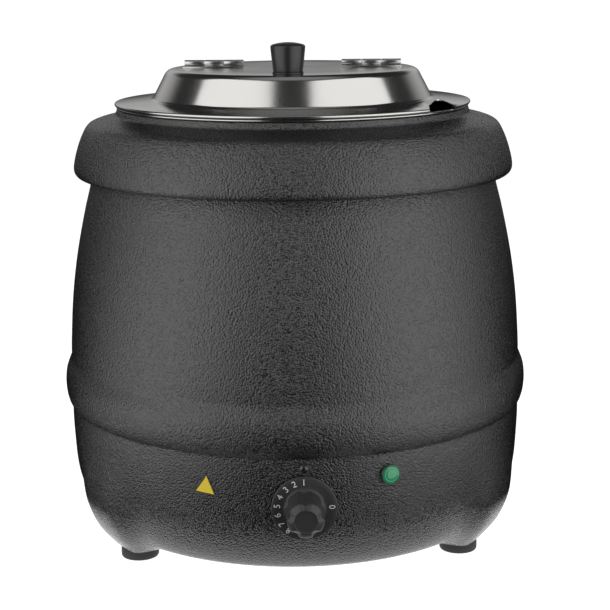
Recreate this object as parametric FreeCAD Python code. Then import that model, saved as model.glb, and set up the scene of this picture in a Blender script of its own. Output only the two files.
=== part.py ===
import FreeCAD, Part
import math
import os

# Soup kettle: a barrel-shaped heated body with a wet well, a lift-out soup pot and a hinged lid.
# Millimetres. +Z is up, the control dial faces -Y, and the floor under the feet is at z = 0.
# Outlines are drawn in the half plane of radius and height, and turned about the Z axis.

# Sheet thicknesses
shell_sheet = 1.2
ring_sheet = 1.5
well_sheet = 1.0
pot_sheet = 0.8
lid_sheet = 0.8

# Barrel body: radius and height of its outer face, above, on and below the pressed bead
shell_top = 305.0
shell_floor = 20.0
shell_flange_radius = 134.0
shell_opening_radius = 92.0
upper_wall = [(142.0, 302.0), (143.0, 284.0), (146.3, 264.0), (152.1, 241.0), (158.3, 211.0),
              (162.5, 181.0), (164.8, 150.0), (165.0, 137.0)]
bead_wall = [(165.0, 137.0), (167.2, 131.0), (169.6, 125.5), (170.0, 119.0), (168.6, 111.0), (166.0, 103.0)]
lower_wall = [(166.0, 103.0), (165.7, 91.0), (164.9, 71.0), (163.3, 55.0), (159.7, 43.0), (155.2, 31.0)]
floor_corner = (151.5, 23.5)
floor_edge = (146.0, 20.0)
front_face_radius = 164.9

# Foot bulges: the wall swells out and down over each of the three feet
foot_circle = 133.0
foot_angles = {"front_right": -30.0, "rear": 90.0, "front_left": 210.0}
bulge_radius = 34.0
bulge_floor = 8.7
bulge_wall = [(166.0, 47.0), (164.9, 38.0), (162.1, 30.6), (157.9, 22.2), (151.0, 13.2), (146.0, 8.7)]

# Cap ring round the mouth of the body
neck_inner = 124.5
neck_outer = 126.2
neck_top = 315.7
ring_face = [(127.4, 311.0), (133.4, 309.5), (141.7, 307.0), (147.2, 304.3), (150.0, 300.4),
             (154.3, 291.0), (157.0, 282.0), (158.2, 274.8)]
ring_lip = (157.0, 270.6)
ring_underside = (153.4, 268.8)
ring_end = (147.8, 267.6)

# Wet well hung inside the body
well_radius = 131.0
well_bottom = 80.0
well_corner = 12.0
well_flange_radius = 139.0
well_underside = well_bottom - well_sheet
gasket_inner = 132.6
gasket_outer = 138.0
gasket_thickness = 0.6

# Lift-out soup pot
pot_inner = 121.0
pot_bottom = 92.0
pot_corner = 14.0
pot_rim_radius = 126.4
pot_rim_top = 317.5
pot_rim_bottom = 316.0

# Lid: a shallow dome on a flange, split across by the hinge line
lid_turn = -4.1
lid_radius = 127.7
lid_hem_bottom = 317.8
lid_hem_top = 320.0
lid_hem_inner = 124.6
lid_base_radius = 100.6
lid_base_height = 321.9
lid_corner_radius = 89.4
lid_top = 343.0
lid_shoulder = 7.0
split_y = 10.0
split_gap = 0.5
notch_outline = [(94.5, -95.0), (94.9, -65.0), (102.0, -48.5), (120.0, -62.0)]
notch_corners = [3.0, 3.0]
notch_cut_height = 15.0

# Lid hinges: two three-knuckle hinges
hinge_x = 57.0
hinge_length = 43.0
knuckle_radius = 2.4
knuckle_count = 3
knuckle_gap = 0.3
pin_radius = 1.2
pin_running_gap = 0.05
leaf_thickness = 0.8
leaf_reach = 13.0
leaf_clear = 3.0
hinge_height = lid_top + knuckle_radius + 0.2

# Lid knob
knob_y = -68.0
knob_outline = [(0.0, 344.2), (10.1, 344.2), (10.1, 346.0), (11.7, 360.6), (11.2, 361.9), (7.8, 363.1),
                (4.0, 363.7), (0.0, 363.9)]
knob_collar_radius = 10.6
knob_collar_height = 1.2
knob_screw_radius = 2.5
knob_screw_top = 356.0
knob_screw_head_radius = 4.6
knob_screw_head_height = 3.0
knob_washer_radius = 6.0
knob_washer_height = 1.0
lid_underside = lid_top - lid_sheet

# Control dial on its thermostat
dial_height = 70.0
dial_back = -166.2
dial_skirt_front = -168.4
dial_skirt_radius = 21.7
dial_grip_radius = 12.5
dial_grip_shoulder = -190.2
dial_front = -193.2
dial_front_radius = 7.5
dial_flutes = 5
flute_radius = 4.4
flute_circle = 14.6
shaft_radius = 3.0
shaft_tip = -184.0
shaft_root = -150.0
shaft_running_gap = 0.05
mark_height = 97.0
mark_ball = 12.0
mark_depth = 0.5

# Thermostat inside the front wall
bracket_front = -158.0
bracket_sheet = 1.5
bracket_half_width = 25.0
bracket_half_height = 24.0
bracket_tip = -159.8
bracket_flange_half = 12.0
thermostat_half_width = 18.0
thermostat_back = -134.5
bush_radius = 4.8
bush_tip = -160.5
thermostat_screw_x = 14.0
thermostat_screw_length = 8.0
thermostat_tab_x = 10.0
capillary_radius = 0.8
bulb_radius = 3.2
bulb_half_length = 30.0
bulb_y = -40.0
clip_sheet = 1.0
clip_half_width = 5.0
clip_foot = 6.0

# Indicator lamp
lamp_angle = 20.0
lamp_height = 89.0
lamp_seat = 165.85
lens_radius = 6.5
lens_height = 3.0
lamp_body_radius = 5.0
lamp_body_end = 140.0
lamp_clip_radius = 8.5
lamp_clip_start = 162.2
lamp_clip_sheet = 1.2

# Plain caution label
label_angle = -23.3
label_height = 82.5
label_side = 17.0
label_tilt = -6.0
label_thickness = 0.3
label_seat = 165.8

# Heating element under the well
element_circle = 75.0
element_radius = 4.0
element_gap_angle = 20.0
element_leg = 20.0
terminal_pin_radius = 1.5
terminal_pin_length = 9.0
clamp_half_length = 88.0
clamp_half_width = 10.0
clamp_sheet = 2.0
stud_radius = 3.0
stud_end = 58.0
nut_flats = 10.0
nut_height = 5.0
cutout_y = 40.0
cutout_radius = 8.0
cutout_height = 9.0
cutout_tab_height = 9.0
cutout_tab_x = 4.0
tab_half_width = 3.0
tab_half_thickness = 0.4

# Cable gland at the rear
gland_height = 62.0
gland_thread = 8.0
gland_flats = 22.0
gland_seat = 165.2
gland_flange = 5.0
gland_end = 190.0
cord_bore = 4.2
gland_inside = 150.0
gland_dome_radius = 10.8
gland_dome_round = 4.0
locknut_start = 155.6
locknut_end = 159.6
seal_length = 6.0

# Terminal block and earth stud, which stand on the floor of the shell between two feet
floor_top = shell_floor + shell_sheet
supply_angle = 150.0
supply_radius = 109.0
block_half_depth = 9.0
block_half_length = 22.0
block_height = 17.0
block_pitch = 9.65
block_wells = [-14.5, -4.8, 4.8, 14.5]
block_well_radius = 3.0
block_well_floor = 9.0
block_screw_head = 2.0
earth_y = 34.0
earth_length = 14.0
small_nut_flats = 7.0
small_nut_height = 3.2

# Base cover, feet and screws
cover_radius = 97.0
cover_sheet = 1.2
cover_screw_circle = 94.5
cover_screws = 6
cover_screw_length = 5.0
vents = 12
vent_start = 40.0
vent_end = 70.0
vent_half_width = 2.0
foot_radius = 13.5
foot_recess = 5.2
foot_recess_depth = 5.5
foot_bevel = 1.2
foot_screw_head_radius = 4.6
foot_screw_head_height = 2.6
foot_screw_top = 18.0
screw_radius = 2.0
screw_head_radius = 3.8
screw_head_height = 2.4

up = FreeCAD.Vector(0, 0, 1)
origin = FreeCAD.Vector(0, 0, 0)


# Outline edges in the half plane of radius and height

def spot(pair):
    return FreeCAD.Vector(pair[0], 0, pair[1])


def line(start, end):
    return Part.LineSegment(spot(start), spot(end)).toShape()


def arc(start, middle, end):
    return Part.Arc(spot(start), spot(middle), spot(end)).toShape()


def smooth(points):
    curve = Part.BSplineCurve()
    curve.interpolate([spot(p) for p in points])
    return curve.toShape()


def rounded(corners, radii):
    # Straight runs through the corners, with a tangent arc of the given radius at each inner corner
    edges = []
    start = spot(corners[0])
    for before, corner, after, radius in zip(corners, corners[1:], corners[2:], radii):
        here = spot(corner)
        back = (spot(before) - here).normalize()
        ahead = (spot(after) - here).normalize()
        half_turn = back.getAngle(ahead) / 2
        inset = radius / math.tan(half_turn)
        first = here + back * inset
        last = here + ahead * inset
        middle = here + (back + ahead).normalize() * (radius / math.sin(half_turn) - radius)
        edges.append(Part.LineSegment(start, first).toShape())
        edges.append(Part.Arc(first, middle, last).toShape())
        start = last
    edges.append(Part.LineSegment(start, spot(corners[-1])).toShape())
    return edges


# Solids

def spun(edges):
    face = Part.Face(Part.Wire(edges))
    return face.revolve(origin, up, 360)


def spun_polygon(points):
    return spun([line(a, b) for a, b in zip(points, points[1:] + points[:1])])


def sheet(edges, thickness):
    # Sheet metal turned about the Z axis: the outline and its offset enclose the section
    section = Part.Wire(edges).makeOffset2D(thickness, 0, True, True, False)
    return section.revolve(origin, up, 360)


def filled(edges):
    # The solid between an outline that runs from the top to the bottom and the Z axis
    ends = sorted((edges[0].firstVertex().Point, edges[-1].lastVertex().Point), key=lambda p: p.z)
    closing = Part.makePolygon([ends[1], spot((0, ends[1].z)), spot((0, ends[0].z)), ends[0]])
    return spun(edges + closing.Edges)


def inset(points, depth):
    # The points moved inwards by the depth, square to the run of an outline that goes out and down
    moved = []
    for before, here, after in zip(points[:1] + points[:-1], points, points[1:] + points[-1:]):
        run = spot(after) - spot(before)
        run.normalize()
        moved.append((here[0] + depth * run.z, here[1] - depth * run.x))
    return moved


def rod(radius, start, end):
    a = FreeCAD.Vector(*start)
    b = FreeCAD.Vector(*end)
    return Part.makeCylinder(radius, (b - a).Length, a, b - a)


def block(low, high):
    size = [b - a for a, b in zip(low, high)]
    return Part.makeBox(*size, FreeCAD.Vector(*low))


def hexagon(flats, start, end):
    a = FreeCAD.Vector(*start)
    axis = FreeCAD.Vector(*end) - a
    corner = flats / 2 / math.cos(math.pi / 6)
    turns = [math.pi / 3 * i for i in range(7)]
    ring = [FreeCAD.Vector(corner * math.cos(t), corner * math.sin(t), 0) for t in turns]
    prism = Part.Face(Part.makePolygon(ring)).extrude(up * axis.Length)
    prism.Placement = FreeCAD.Placement(a, FreeCAD.Rotation(up, axis))
    return prism


def turned(shape, angle):
    # A copy turned about the Z axis
    copy = shape.copy()
    copy.rotate(origin, up, angle)
    return copy


def ring_of(shape, angles):
    return [turned(shape, angle) for angle in angles]


def group(solids):
    return Part.makeCompound(solids)


def pipe(radius, points):
    # A round tube along straight runs joined by tangent arcs as large as the runs allow
    spots = [FreeCAD.Vector(*p) for p in points]
    edges = []
    start = spots[0]
    for before, here, after in zip(spots, spots[1:], spots[2:]):
        back = before - here
        ahead = after - here
        inset = 0.45 * min(back.Length, ahead.Length)
        back.normalize()
        ahead.normalize()
        half_turn = back.getAngle(ahead) / 2
        bend = inset * math.tan(half_turn)
        first = here + back * inset
        last = here + ahead * inset
        middle = here + (back + ahead).normalize() * (bend / math.sin(half_turn) - bend)
        edges.append(Part.LineSegment(start, first).toShape())
        edges.append(Part.Arc(first, middle, last).toShape())
        start = last
    edges.append(Part.LineSegment(start, spots[-1]).toShape())
    path = Part.Wire(edges)
    end_disc = Part.Wire(Part.makeCircle(radius, spots[0], spots[1] - spots[0]))
    return path.makePipeShell([end_disc], True, True)


# Body

def barrel(depth):
    # The filled barrel, with its face set in by the depth
    wall = inset(upper_wall + bead_wall[1:] + lower_wall[1:] + [floor_corner], depth)
    bead_start = len(upper_wall) - 1
    bead_end = bead_start + len(bead_wall) - 1
    upper = wall[:bead_start + 1]
    lower = wall[bead_end:-1]
    top = shell_top - depth
    corner = (floor_corner[0] - 0.7 * depth, floor_corner[1] + 0.7 * depth)
    edge = (floor_edge[0], floor_edge[1] + depth)
    return filled([arc((139.5, top), (141.3 - 0.8 * depth, 304.2 - 0.6 * depth), upper[0]),
                   smooth(upper), smooth(wall[bead_start:bead_end + 1]), smooth(lower),
                   arc(lower[-1], corner, edge)])


def bulge(depth):
    # The swelling over one foot, on the +X side, with its face set in by the depth
    wall = inset(bulge_wall, depth)
    floor = bulge_floor + depth
    wall[-1] = (wall[-1][0], floor)
    height = wall[0][1]
    column = Part.makeCylinder(bulge_radius - depth, height, FreeCAD.Vector(foot_circle, 0, 0))
    return filled([smooth(wall)]).common(column)


def wall_mark():
    # A shallow round dimple above the dial, which the dial numbers are read against
    depth = front_face_radius + 0.9 + mark_ball - mark_depth
    return Part.makeSphere(mark_ball, FreeCAD.Vector(0, -depth, mark_height))


def make_outer_shell():
    inside = barrel(shell_sheet)
    outer_bulge = bulge(0.0)
    inner_bulge = bulge(shell_sheet)
    foot_hole = rod(screw_radius + 0.7, (foot_circle, 0, 0), (foot_circle, 0, foot_screw_top))
    shell = barrel(0.0).cut(inside)
    shell = shell.cut(rod(shell_flange_radius, (0, 0, 250), (0, 0, 320)))
    shell = shell.cut(rod(shell_opening_radius, (0, 0, 0), (0, 0, 50)))
    for angle in foot_angles.values():
        hollow = turned(inner_bulge, angle)
        cup = turned(outer_bulge, angle).cut(hollow).cut(inside)
        shell = shell.cut(hollow).fuse(cup).cut(turned(foot_hole, angle))
    shaft_hole = rod(5.5, (0, -170, dial_height), (0, -155, dial_height))
    lamp_hole = at_lamp(lamp_rod(lamp_body_radius + 0.2, lamp_body_end, lamp_seat + lens_height))
    gland_hole = rod(gland_thread + 0.2, (0, 155, gland_height), (0, 175, gland_height))
    screw_hole = rod(screw_radius + 0.1, (cover_screw_circle, 0, 10), (cover_screw_circle, 0, 30))
    for hole in [shaft_hole, lamp_hole, gland_hole, wall_mark()] + ring_of(screw_hole, cover_screw_angles()):
        shell = shell.cut(hole)
    return shell.removeSplitter()


def make_top_ring():
    bend = (neck_outer - 0.6, neck_top)
    neck_foot = (neck_outer + 0.2, neck_top - 1.6)
    outside = [line((neck_inner, neck_top), bend), arc(bend, (neck_outer, neck_top - 0.7), neck_foot),
               line(neck_foot, ring_face[0]), smooth(ring_face), arc(ring_face[-1], ring_lip, ring_underside),
               line(ring_underside, ring_end)]
    under = inset(ring_face, ring_sheet)
    lip = (ring_lip[0] - 0.7 * ring_sheet, ring_lip[1] + 0.7 * ring_sheet)
    underside = (ring_underside[0], ring_underside[1] + ring_sheet)
    end = (ring_end[0], ring_end[1] + ring_sheet)
    neck_root = (neck_inner, under[0][1] + 0.6)
    inside = [line(ring_end, end), line(end, underside), arc(underside, lip, under[-1]), smooth(under[::-1]),
              line(under[0], neck_root), line(neck_root, (neck_inner, neck_top))]
    return spun(outside + inside)


def make_water_well():
    corners = [(well_flange_radius, shell_top + well_sheet), (well_radius, shell_top + well_sheet),
               (well_radius, well_bottom), (0, well_bottom)]
    return sheet(rounded(corners, [2.5, well_corner]), well_sheet)


def make_well_gasket():
    low = shell_top + well_sheet
    high = low + gasket_thickness
    return spun_polygon([(gasket_inner, low), (gasket_outer, low),
                         (gasket_outer, high), (gasket_inner, high)])


# Lift-out pot

def make_soup_pot():
    corners = [(pot_rim_radius, pot_rim_top), (pot_inner, pot_rim_top),
               (pot_inner, pot_bottom), (0, pot_bottom)]
    vessel = sheet(rounded(corners, [1.8, pot_corner]), pot_sheet)
    hem = spun_polygon([(pot_rim_radius - 1.4, pot_rim_top - 0.5), (pot_rim_radius, pot_rim_top - 0.5),
                        (pot_rim_radius, pot_rim_bottom), (pot_rim_radius - 1.4, pot_rim_bottom)])
    return vessel.fuse(hem).removeSplitter()


# Lid

def whole_lid():
    hem_edge = lid_radius - 0.8
    corners = [(hem_edge, lid_hem_top), (lid_base_radius, lid_base_height),
               (lid_corner_radius, lid_top), (0, lid_top)]
    dome = sheet(rounded(corners, [3.0, lid_shoulder]), lid_sheet)
    hem = spun([line((lid_hem_inner, lid_hem_bottom), (hem_edge, lid_hem_bottom)),
                arc((hem_edge, lid_hem_bottom), (lid_radius, 318.9), (hem_edge, lid_hem_top)),
                line((hem_edge, lid_hem_top), (lid_hem_inner, lid_hem_top)),
                line((lid_hem_inner, lid_hem_top), (lid_hem_inner, lid_hem_bottom))])
    return dome.fuse(hem).removeSplitter()


def make_lid_rear(lid):
    return lid.common(block((-150, split_y + split_gap / 2, 300), (150, 150, 360)))


def make_ladle_notch():
    # The cutter for the slot in the flange, open at the rim, with rounded inner corners
    corners = [FreeCAD.Vector(x, y, lid_hem_bottom - 5) for x, y in notch_outline]
    notch = Part.Face(Part.makePolygon(corners + corners[:1])).extrude(up * notch_cut_height)
    for corner, radius in zip(corners[1:], notch_corners):
        middle = corner + up * notch_cut_height / 2
        edge = [e for e in notch.Edges if e.CenterOfMass.distanceToPoint(middle) < 1]
        notch = notch.makeFillet(radius, edge)
    return notch


def make_lid_front(lid):
    half = lid.common(block((-150, -150, 300), (150, split_y - split_gap / 2, 360)))
    notch = make_ladle_notch()
    screw_hole = rod(knob_screw_radius + 0.2, (0, knob_y, 330), (0, knob_y, 350))
    return half.cut(notch).cut(screw_hole)


def knuckle_spans(centre):
    # The stretches of a hinge along X, left to right
    pitch = hinge_length / knuckle_count
    left = centre - hinge_length / 2
    return [(left + pitch * i + knuckle_gap / 2, left + pitch * (i + 1) - knuckle_gap / 2)
            for i in range(knuckle_count)]


def make_hinge_leaf(centre, side):
    # side is 1 for the leaf on the rear half, with the outer knuckles, and -1 for the front one
    spans = knuckle_spans(centre)
    own = spans[::2] if side > 0 else spans[1::2]
    bore = pin_radius if side > 0 else pin_radius + pin_running_gap
    near, far = sorted((split_y + side * leaf_clear, split_y + side * leaf_reach))
    half = hinge_length / 2
    leaf = block((centre - half, near, lid_top), (centre + half, far, lid_top + leaf_thickness))
    for left, right in own:
        knuckle = rod(knuckle_radius, (left, split_y, hinge_height), (right, split_y, hinge_height))
        low_y, high_y = sorted((split_y, split_y + side * leaf_clear))
        tab = block((left, low_y, lid_top + 0.3), (right, high_y, lid_top + leaf_thickness))
        leaf = leaf.fuse(knuckle).fuse(tab)
    hole = rod(bore, (centre - half - 1, split_y, hinge_height), (centre + half + 1, split_y, hinge_height))
    return leaf.cut(hole).removeSplitter()


def make_hinge_pin(centre):
    half = hinge_length / 2 - knuckle_gap / 2
    return rod(pin_radius, (centre - half, split_y, hinge_height), (centre + half, split_y, hinge_height))


def at_knob(shape):
    copy = shape.copy()
    copy.translate(FreeCAD.Vector(0, knob_y, 0))
    return copy


def make_lid_knob():
    bore = rod(knob_screw_radius, (0, 0, lid_top), (0, 0, knob_screw_top))
    return at_knob(spun_polygon(knob_outline).cut(bore))


def washer(outer, inner, low, high):
    return rod(outer, (0, 0, low), (0, 0, high)).cut(rod(inner, (0, 0, low - 1), (0, 0, high + 1)))


def make_knob_collar():
    return at_knob(washer(knob_collar_radius, knob_screw_radius + 0.2, lid_top, lid_top + knob_collar_height))


def make_knob_washer():
    low = lid_underside - knob_washer_height
    return at_knob(washer(knob_washer_radius, knob_screw_radius + 0.2, low, lid_underside))


def make_knob_screw():
    seat = lid_underside - knob_washer_height
    shank = rod(knob_screw_radius, (0, 0, seat - 1), (0, 0, knob_screw_top))
    head = rod(knob_screw_head_radius, (0, 0, seat - knob_screw_head_height), (0, 0, seat))
    return at_knob(shank.fuse(head).removeSplitter())


# Controls at the front

def make_control_dial():
    profile = [(0, -dial_front), (dial_front_radius, -dial_front),
               (dial_grip_radius - 0.9, -dial_grip_shoulder),
               (dial_grip_radius, -dial_skirt_front), (dial_skirt_radius - 0.4, -dial_skirt_front),
               (dial_skirt_radius, -dial_skirt_front - 0.5), (dial_skirt_radius, -dial_back), (0, -dial_back)]
    dial = spun_polygon(profile)
    for i in range(dial_flutes):
        angle = math.pi / 2 + 2 * math.pi * i / dial_flutes
        x = flute_circle * math.cos(angle)
        y = flute_circle * math.sin(angle)
        dial = dial.cut(rod(flute_radius, (x, y, -dial_skirt_front), (x, y, 1 - dial_front)))
    dial.rotate(origin, FreeCAD.Vector(1, 0, 0), 90)
    dial.translate(FreeCAD.Vector(0, 0, dial_height))
    return dial.cut(shaft_blank(shaft_radius, dial_back + 1, shaft_tip))


def shaft_blank(radius, start, end):
    return rod(radius, (0, start, dial_height), (0, end, dial_height))


def make_thermostat_shaft():
    return shaft_blank(shaft_radius, shaft_root, shaft_tip)


def make_thermostat_bracket():
    back = bracket_front + bracket_sheet
    low = dial_height - bracket_half_height
    high = dial_height + bracket_half_height
    plate = block((-bracket_half_width, bracket_front, low), (bracket_half_width, back, high))
    for side in (-1, 1):
        edges = sorted((side * bracket_half_width, side * (bracket_half_width - bracket_sheet)))
        plate = plate.fuse(block((edges[0], bracket_tip, dial_height - bracket_flange_half),
                                 (edges[1], back, dial_height + bracket_flange_half)))
        x = side * thermostat_screw_x
        hole = rod(screw_radius + 0.2, (x, bracket_tip, dial_height), (x, shaft_root, dial_height))
        plate = plate.cut(hole)
    return plate.cut(shaft_blank(bush_radius + 0.2, bracket_tip, shaft_root)).removeSplitter()


def make_thermostat_body():
    front = bracket_front + bracket_sheet
    half = thermostat_half_width
    case = block((-half, front, dial_height - half), (half, thermostat_back, dial_height + half))
    case = case.makeChamfer(1.5, [e for e in case.Edges if e.BoundBox.YLength > 5])
    case = case.fuse(shaft_blank(bush_radius, front, bush_tip))
    case = case.cut(shaft_blank(shaft_radius + shaft_running_gap, shaft_root + 0.5, bush_tip - 1))
    for side in (-1, 1):
        x = side * thermostat_screw_x
        hole = rod(screw_radius, (x, front, dial_height), (x, front + thermostat_screw_length, dial_height))
        case = case.cut(hole)
        tab_x = side * thermostat_tab_x
        low = (tab_x - tab_half_width, thermostat_back, dial_height - tab_half_thickness)
        high = (tab_x + tab_half_width, thermostat_back + 2.5, dial_height + tab_half_thickness)
        case = case.fuse(block(low, high))
    return case.removeSplitter()


def make_thermostat_screws():
    screws = []
    for side in (-1, 1):
        x = side * thermostat_screw_x
        seat = (x, bracket_front, dial_height)
        shank = rod(screw_radius, seat, (x, bracket_front + thermostat_screw_length, dial_height))
        head = rod(screw_head_radius, (x, bracket_front - screw_head_height, dial_height), seat)
        screws.append(shank.fuse(head).removeSplitter())
    return group(screws)


def at_lamp(shape):
    # Shapes are made along -Y at the lamp's height and turned to its place on the wall
    return turned(shape, lamp_angle)


def lamp_rod(radius, start, end):
    return rod(radius, (0, -start, lamp_height), (0, -end, lamp_height))


def make_indicator_lens():
    lens = lamp_rod(lens_radius, lamp_seat, lamp_seat + lens_height)
    front = [e for e in lens.Edges if e.BoundBox.YMax < -lamp_seat - lens_height + 0.1]
    return at_lamp(lens.makeFillet(1.1, front))


def make_indicator_body():
    return at_lamp(lamp_rod(lamp_body_radius, lamp_body_end, lamp_seat))


def make_indicator_clip():
    clip = lamp_rod(lamp_clip_radius, lamp_clip_start, lamp_clip_start + lamp_clip_sheet)
    return at_lamp(clip.cut(lamp_rod(lamp_body_radius, lamp_body_end, lamp_seat)))


def make_caution_label():
    height = label_side * math.sin(math.pi / 3)
    corners = [(-label_side / 2, -height / 3), (label_side / 2, -height / 3), (0, height * 2 / 3)]
    outline = Part.makePolygon([FreeCAD.Vector(x, 0, z) for x, z in corners + corners[:1]])
    prism = Part.Face(outline).extrude(FreeCAD.Vector(0, -label_thickness, 0))
    prism.rotate(origin, FreeCAD.Vector(0, 1, 0), -label_tilt)
    prism.translate(FreeCAD.Vector(0, -label_seat, label_height))
    return turned(prism, label_angle)


# Heating under the well

def make_element_ring():
    height = well_underside - element_radius
    gap = math.radians(element_gap_angle) / 2
    first = (element_circle * math.sin(gap), element_circle * math.cos(gap), height)
    turn = 360 - element_gap_angle
    torus = Part.makeTorus(element_circle, element_radius, FreeCAD.Vector(0, 0, height), up, -180, 180, turn)
    ring = turned(torus, 90 + element_gap_angle / 2)
    for side in (-1, 1):
        x = side * first[0]
        y = first[1]
        leg_end = height - element_leg
        leg = rod(element_radius, (x, y, height), (x, y, leg_end))
        pin = rod(terminal_pin_radius, (x, y, leg_end), (x, y, leg_end - terminal_pin_length))
        elbow = Part.makeSphere(element_radius, FreeCAD.Vector(x, y, height))
        ring = ring.fuse(leg).fuse(pin).fuse(elbow)
    return ring.removeSplitter()


def clamp_top():
    return well_underside - 2 * element_radius


def make_element_clamp():
    top = clamp_top()
    low = (-clamp_half_length, -clamp_half_width, top - clamp_sheet)
    bar = block(low, (clamp_half_length, clamp_half_width, top))
    return bar.cut(rod(stud_radius + 0.2, (0, 0, stud_end), (0, 0, well_underside)))


def make_well_stud():
    return rod(stud_radius, (0, 0, stud_end), (0, 0, well_underside))


def make_clamp_nut():
    top = clamp_top() - clamp_sheet
    return hexagon(nut_flats, (0, 0, top - nut_height), (0, 0, top)).cut(make_well_stud())


def make_sensor_bulb():
    height = well_underside - bulb_radius
    return rod(bulb_radius, (-bulb_half_length, bulb_y, height), (bulb_half_length, bulb_y, height))


def make_bulb_clip():
    # A bent strip that holds the bulb up against the well
    height = well_underside - bulb_radius
    half = clip_half_width
    outer = bulb_radius + clip_sheet
    strap = rod(outer, (-half, bulb_y, height), (half, bulb_y, height))
    strap = strap.cut(rod(bulb_radius, (-2 * half, bulb_y, height), (2 * half, bulb_y, height)))
    strap = strap.common(block((-half, bulb_y - outer, height - outer), (half, bulb_y + outer, height)))
    for side in (-1, 1):
        edges = sorted((bulb_y + side * bulb_radius, bulb_y + side * outer))
        strap = strap.fuse(block((-half, edges[0], height), (half, edges[1], well_underside)))
        foot = sorted((bulb_y + side * outer, bulb_y + side * (outer + clip_foot)))
        low = (-half, foot[0], well_underside - clip_sheet)
        strap = strap.fuse(block(low, (half, foot[1], well_underside)))
    return strap.removeSplitter()


def capillary_route():
    height = well_underside - bulb_radius
    return [(bulb_half_length, bulb_y, height), (42, -42, 75), (50, -54, 65), (48, -82, 55), (34, -112, 44),
            (16, -134, 37), (8, -145, 42), (8, -146, dial_height - thermostat_half_width)]


def make_capillary_tube():
    return pipe(capillary_radius, capillary_route())


def make_thermal_cutout():
    can_bottom = well_underside - cutout_height
    can = rod(cutout_radius, (0, cutout_y, can_bottom), (0, cutout_y, well_underside))
    for x in (-cutout_tab_x, cutout_tab_x):
        low = (x - tab_half_thickness, cutout_y - tab_half_width, can_bottom - cutout_tab_height)
        can = can.fuse(block(low, (x + tab_half_thickness, cutout_y + tab_half_width, can_bottom)))
    return can.removeSplitter()


# Supply: gland, terminal block and earth

def gland_rod(radius, start, end):
    return rod(radius, (0, start, gland_height), (0, end, gland_height))


def gland_hex(start, end):
    return hexagon(gland_flats, (0, start, gland_height), (0, end, gland_height))


def make_gland_body():
    flange_end = gland_seat + gland_flange
    body = gland_rod(gland_thread, gland_inside, flange_end + 8).fuse(gland_hex(gland_seat, flange_end))
    return body.cut(gland_rod(cord_bore + 0.8, gland_inside - 5, flange_end + 15)).removeSplitter()


def make_gland_locknut():
    return gland_hex(locknut_start, locknut_end).cut(gland_rod(gland_thread, gland_inside, gland_seat))


def make_gland_dome_nut():
    start = gland_seat + gland_flange
    nut = gland_rod(gland_dome_radius, start + 0.2, gland_end)
    rim = [e for e in nut.Edges if e.BoundBox.YMin > gland_end - 0.1]
    nut = nut.makeFillet(gland_dome_round, rim)
    nut = nut.cut(gland_rod(gland_thread, start - 1, start + 14))
    return nut.cut(gland_rod(cord_bore + 1.2, start, gland_end + 1))


def make_gland_seal():
    start = gland_seat + gland_flange + 8
    return gland_rod(gland_thread, start, start + seal_length).cut(gland_rod(cord_bore, start - 1, gland_end))


def supply_rod(radius, y, low, high):
    return rod(radius, (supply_radius, y, floor_top + low), (supply_radius, y, floor_top + high))


def make_terminal_block():
    low = (supply_radius - block_half_depth, -block_half_length, floor_top)
    bar = block(low, (supply_radius + block_half_depth, block_half_length, floor_top + block_height))
    for y in block_wells:
        bar = bar.cut(supply_rod(block_well_radius, y, block_well_floor, block_height + 1))
    for y in (-block_pitch, block_pitch):
        bar = bar.cut(supply_rod(screw_radius, y, -1, block_height + 1))
    return turned(bar, supply_angle)


def make_terminal_screws():
    screws = []
    for y in (-block_pitch, block_pitch):
        shank = supply_rod(screw_radius - 0.1, y, 0, block_height)
        head = supply_rod(block_well_radius, y, block_height, block_height + block_screw_head)
        screws.append(turned(shank.fuse(head).removeSplitter(), supply_angle))
    return group(screws)


def make_earth_stud():
    return turned(supply_rod(screw_radius, earth_y, 0, earth_length), supply_angle)


def small_nut(x, y, seat):
    nut = hexagon(small_nut_flats, (x, y, seat), (x, y, seat + small_nut_height))
    return nut.cut(rod(screw_radius, (x, y, seat - 1), (x, y, seat + small_nut_height + 1)))


def make_earth_nut():
    return turned(small_nut(supply_radius, earth_y, floor_top), supply_angle)


# Base cover and feet

def cover_screw_angles():
    return [360 / cover_screws * i for i in range(cover_screws)]


def make_base_cover():
    cover = rod(cover_radius, (0, 0, shell_floor - cover_sheet), (0, 0, shell_floor))
    hole = rod(screw_radius + 0.1, (cover_screw_circle, 0, 0), (cover_screw_circle, 0, 2 * shell_floor))
    slot = block((vent_start, -vent_half_width, 0), (vent_end, vent_half_width, 2 * shell_floor))
    vent_angles = [360 / vents * i for i in range(vents)]
    for cutter in ring_of(hole, cover_screw_angles()) + ring_of(slot, vent_angles):
        cover = cover.cut(cutter)
    return cover


def make_base_screws():
    seat = (cover_screw_circle, 0, shell_floor - cover_sheet)
    shank = rod(screw_radius, seat, (cover_screw_circle, 0, shell_floor + cover_screw_length))
    head = rod(screw_head_radius, (cover_screw_circle, 0, seat[2] - screw_head_height), seat)
    screw = shank.fuse(head).removeSplitter()
    return group(ring_of(screw, cover_screw_angles()))


def make_foot(angle):
    profile = [(0, 0), (foot_radius - foot_bevel, 0), (foot_radius, foot_bevel),
               (foot_radius - 0.4, bulge_floor), (0, bulge_floor)]
    foot = spun_polygon(profile)
    foot = foot.cut(rod(foot_recess, (0, 0, -1), (0, 0, foot_recess_depth)))
    foot = foot.cut(rod(screw_radius + 0.1, (0, 0, 0), (0, 0, bulge_floor + 1)))
    foot.translate(FreeCAD.Vector(foot_circle, 0, 0))
    return turned(foot, angle)


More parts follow.
